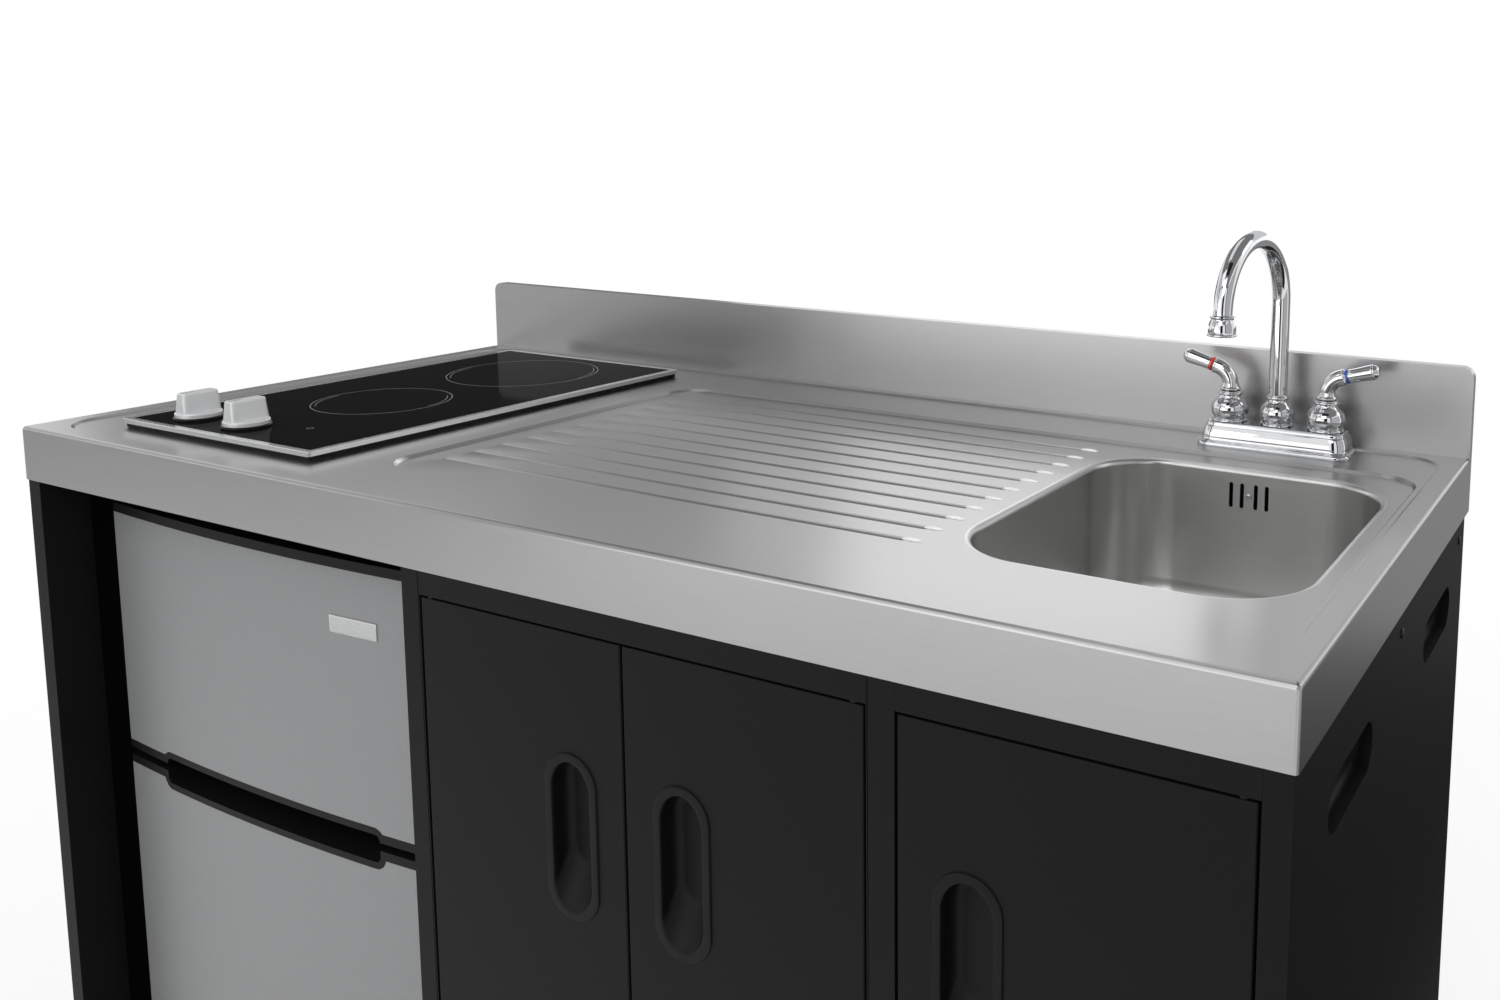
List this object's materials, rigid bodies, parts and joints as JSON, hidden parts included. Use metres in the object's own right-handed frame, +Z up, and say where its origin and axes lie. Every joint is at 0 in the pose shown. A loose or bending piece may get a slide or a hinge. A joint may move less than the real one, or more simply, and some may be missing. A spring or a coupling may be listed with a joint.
{
  "type": "kitchenette unit",
  "caption": "Free-standing kitchenette: pressed stainless worktop with drainer, sink, tap and glass hob on a black steel cabinet with cupboards and a two-door fridge.",
  "frame": {"origin": "on the floor, under the middle of the unit's footprint", "axes": "+Z up, +X to the user's right, -Y towards the user in front of the unit"},
  "size_m": [1.372, 0.63, 1.142],
  "materials": {
    "stainless_worktop": "brushed",
    "stainless_bowl": "satin",
    "chrome": "polished",
    "hob_trim_steel": "bright brushed",
    "hob_glass": "polished black ceramic glass",
    "knob_silver": "satin silver",
    "black_powder_coat": "satin powder coat",
    "galvanised_steel": "galvanised",
    "plated_steel": "zinc plated",
    "fridge_silver": "matte silver",
    "black_plastic": "satin moulded",
    "white_plastic": "moulded liner",
    "fridge_shelf": "clear moulded",
    "index_red": "moulded",
    "index_blue": "moulded",
    "heater_insulation": "fibrous insulation",
    "compressor_black": "gloss enamel",
    "foot_plastic": "moulded"
  },
  "bodies": {
    "cabinet": {"worktop": "stainless_worktop", "worktop_rails": "galvanised_steel", "sink_bowl": "stainless_bowl", "overflow_box": "black_plastic", "overflow_pipe": "black_plastic", "strainer_body": "stainless_bowl", "drain_tailpiece": "chrome", "tap_base": "chrome", "tap_shanks": "plated_steel", "hob_frame": "hob_trim_steel", "hob_glass": "hob_glass", "hob_tray": "galvanised_steel", "front_element": "heater_insulation", "rear_element": "heater_insulation", "left_regulator": "black_plastic", "right_regulator": "black_plastic", "side_panel_left": "black_powder_coat", "side_panel_right": "black_powder_coat", "fridge_bay_panel": "black_powder_coat", "sink_bay_panel": "black_powder_coat", "back_panel": "black_powder_coat", "sink_back_panel": "black_powder_coat", "floor_pan": "black_powder_coat", "front_rail": "black_powder_coat", "cabinet_shelf": "black_powder_coat", "leveller_feet": "foot_plastic", "door_catches": "black_plastic", "fridge_case": "black_powder_coat", "freezer_liner": "white_plastic", "fridge_liner": "white_plastic", "fridge_shelves": "fridge_shelf", "fridge_hinges": "plated_steel", "compressor": "compressor_black"},
    "tap_spout": {"tap_spout": "chrome", "aerator": "chrome"},
    "hot_handle": {"hot_handle": "chrome", "hot_index_ring": "index_red"},
    "cold_handle": {"cold_handle": "chrome", "cold_index_ring": "index_blue"},
    "left_knob": {"left_knob": "knob_silver", "left_knob_shaft": "plated_steel"},
    "right_knob": {"right_knob": "knob_silver", "right_knob_shaft": "plated_steel"},
    "strainer_basket": {"strainer_basket": "stainless_bowl"},
    "left_door": {"left_door": "black_powder_coat", "left_door_pull": "black_plastic", "left_door_pins": "plated_steel"},
    "right_door": {"right_door": "black_powder_coat", "right_door_pull": "black_plastic", "right_door_pins": "plated_steel"},
    "sink_door": {"sink_door": "black_powder_coat", "sink_door_pull": "black_plastic", "sink_door_pins": "plated_steel"},
    "freezer_door": {"freezer_door": "fridge_silver", "freezer_trim": "black_plastic", "freezer_door_liner": "white_plastic"},
    "fridge_door": {"fridge_door": "fridge_silver", "fridge_trim": "black_plastic", "fridge_door_liner": "white_plastic"},
    "thermostat_dial": {"thermostat_dial": "white_plastic"}
  },
  "joints": [
    {"name": "left_door_hinge", "type": "hinge", "parent": "cabinet", "child": "left_door", "pos_m": [-0.069, -0.308, 0.4405], "axis": [0, 0, 1], "range_deg": [-95, 0]},
    {"name": "right_door_hinge", "type": "hinge", "parent": "cabinet", "child": "right_door", "pos_m": [0.365, -0.308, 0.4405], "axis": [0, 0, 1], "range_deg": [0, 95]},
    {"name": "sink_door_hinge", "type": "hinge", "parent": "cabinet", "child": "sink_door", "pos_m": [0.652, -0.308, 0.4405], "axis": [0, 0, 1], "range_deg": [0, 95]},
    {"name": "freezer_door_hinge", "type": "hinge", "parent": "cabinet", "child": "freezer_door", "pos_m": [-0.1525, -0.238, 0.6882], "axis": [0, 0, 1], "range_deg": [0, 95]},
    {"name": "fridge_door_hinge", "type": "hinge", "parent": "cabinet", "child": "fridge_door", "pos_m": [-0.1525, -0.238, 0.3005], "axis": [0, 0, 1], "range_deg": [0, 95]},
    {"name": "spout_swivel", "type": "hinge", "parent": "cabinet", "child": "tap_spout", "pos_m": [0.5, 0.257, 0.969], "axis": [0, 0, 1], "range_deg": [-90, 90]},
    {"name": "hot_valve", "type": "hinge", "parent": "cabinet", "child": "hot_handle", "pos_m": [0.4492, 0.257, 0.969], "axis": [0, 0, 1], "range_deg": [0, 90]},
    {"name": "cold_valve", "type": "hinge", "parent": "cabinet", "child": "cold_handle", "pos_m": [0.5508, 0.257, 0.969], "axis": [0, 0, 1], "range_deg": [-90, 0]},
    {"name": "left_knob_turn", "type": "hinge", "parent": "cabinet", "child": "left_knob", "pos_m": [-0.535, -0.22, 0.9215], "axis": [0, 0, 1], "range_deg": [-290, 0]},
    {"name": "right_knob_turn", "type": "hinge", "parent": "cabinet", "child": "right_knob", "pos_m": [-0.454, -0.22, 0.9215], "axis": [0, 0, 1], "range_deg": [-290, 0]},
    {"name": "thermostat_turn", "type": "hinge", "parent": "cabinet", "child": "thermostat_dial", "pos_m": [-0.3835, 0.074, 0.4927], "axis": [0, 0, 1], "range_deg": [0, 270]},
    {"name": "basket_lift", "type": "slide", "parent": "cabinet", "child": "strainer_basket", "axis": [0, 0, 1], "range_m": [0, 0.06]}
  ]
}
